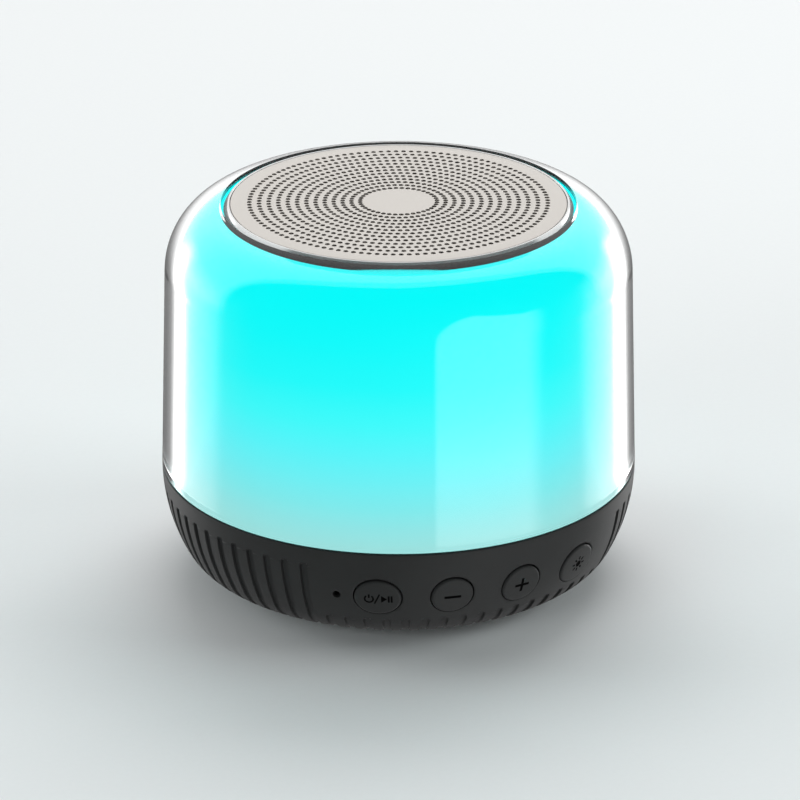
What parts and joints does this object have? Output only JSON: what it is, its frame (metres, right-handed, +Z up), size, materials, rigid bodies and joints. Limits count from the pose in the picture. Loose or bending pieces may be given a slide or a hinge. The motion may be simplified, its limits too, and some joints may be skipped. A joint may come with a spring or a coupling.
{
  "type": "portable speaker",
  "caption": "Round tabletop speaker: dark ribbed base with side buttons, clear body over a glowing diffuser, and an upward-firing driver under a round grille.",
  "frame": {"origin": "centre of the foot ring's resting face, on the axis of the round body", "axes": "+Z up along the body's axis; the middle of the button row faces -Y, so the charging port is at +Y; +X is to the right when facing the buttons"},
  "size_m": [0.092, 0.092, 0.0747],
  "materials": {
    "dark_housing": "satin soft-touch moulded plastic, dark grey",
    "black_rubber": "matte rubber",
    "clear_shell": "clear polished plastic",
    "milky_diffuser": "milky light-spreading plastic, lit from inside",
    "polished_ring": "polished bevelled ring",
    "grille_metal": "fine satin, warm silver, perforated",
    "white_plastic": "white moulded plastic",
    "circuit_board": "solder mask",
    "plated_steel": "bright plated steel",
    "port_plastic": "black moulded plastic",
    "switch_plunger": "black moulded plastic",
    "battery_wrap": "wrapped pouch cell",
    "foam": "white double-sided foam tape",
    "foam_black": "black sealing foam",
    "black_lead": "insulated wire",
    "red_lead": "insulated wire",
    "led_package": "surface-mounted lamp",
    "woven_cloth": "black acoustic cloth",
    "spider_cloth": "resin-treated corrugated cloth",
    "driver_frame": "black painted steel",
    "ferrite": "dull dark grey",
    "copper_winding": "enamelled copper wire",
    "cone_paper": "black coated paper"
  },
  "bodies": {
    "speaker": {"base_housing": "dark_housing", "bottom_cover": "dark_housing", "foot_ring": "black_rubber", "power_switch": "plated_steel", "volume_down_switch": "plated_steel", "volume_up_switch": "plated_steel", "light_switch": "plated_steel", "microphone": "plated_steel", "microphone_boot": "black_rubber", "main_board": "circuit_board", "bluetooth_module": "plated_steel", "charging_port_shell": "plated_steel", "charging_port_tongue": "port_plastic", "battery_cell": "battery_wrap", "battery_pad": "foam", "battery_lead": "black_lead", "speaker_lead": "red_lead", "light_board": "circuit_board", "led_1": "led_package", "led_2": "led_package", "led_3": "led_package", "led_4": "led_package", "led_5": "led_package", "led_6": "led_package", "led_7": "led_package", "led_8": "led_package", "mounting_plate": "white_plastic", "speaker_chamber": "white_plastic", "light_diffuser": "milky_diffuser", "outer_shell": "clear_shell", "trim_ring": "polished_ring", "speaker_grille": "grille_metal", "grille_cloth": "woven_cloth", "driver_gasket": "foam_black", "driver_basket": "driver_frame", "magnet_top_plate": "plated_steel", "driver_magnet": "ferrite", "magnet_back_plate": "plated_steel", "driver_surround": "black_rubber", "driver_spider": "spider_cloth", "driver_screw_1": "plated_steel", "driver_screw_2": "plated_steel", "driver_screw_3": "plated_steel", "driver_screw_4": "plated_steel", "cover_screw_1": "plated_steel", "cover_screw_2": "plated_steel", "cover_screw_3": "plated_steel", "cover_screw_4": "plated_steel"},
    "power_key": {"power_button": "dark_housing", "power_plunger": "switch_plunger"},
    "volume_down_key": {"volume_down_button": "dark_housing", "volume_down_plunger": "switch_plunger"},
    "volume_up_key": {"volume_up_button": "dark_housing", "volume_up_plunger": "switch_plunger"},
    "light_key": {"light_button": "dark_housing", "light_plunger": "switch_plunger"},
    "diaphragm": {"driver_cone": "cone_paper", "dust_cap": "cone_paper", "voice_coil": "copper_winding"}
  },
  "joints": [
    {"name": "power_press", "type": "slide", "parent": "speaker", "child": "power_key", "axis": [0.454, 0.891, 0], "range_m": [0, 0.0004], "stiffness_N_per_m": 4500},
    {"name": "volume_down_press", "type": "slide", "parent": "speaker", "child": "volume_down_key", "axis": [0.1564, 0.9877, 0], "range_m": [0, 0.0004], "stiffness_N_per_m": 4500},
    {"name": "volume_up_press", "type": "slide", "parent": "speaker", "child": "volume_up_key", "axis": [-0.1564, 0.9877, 0], "range_m": [0, 0.0004], "stiffness_N_per_m": 4500},
    {"name": "light_press", "type": "slide", "parent": "speaker", "child": "light_key", "axis": [-0.454, 0.891, 0], "range_m": [0, 0.0004], "stiffness_N_per_m": 4500},
    {"name": "diaphragm_travel", "type": "slide", "parent": "speaker", "child": "diaphragm", "axis": [0, 0, 1], "range_m": [-0.0015, 0.0015], "stiffness_N_per_m": 1200, "deforming": ["driver_surround", "driver_spider"]}
  ]
}
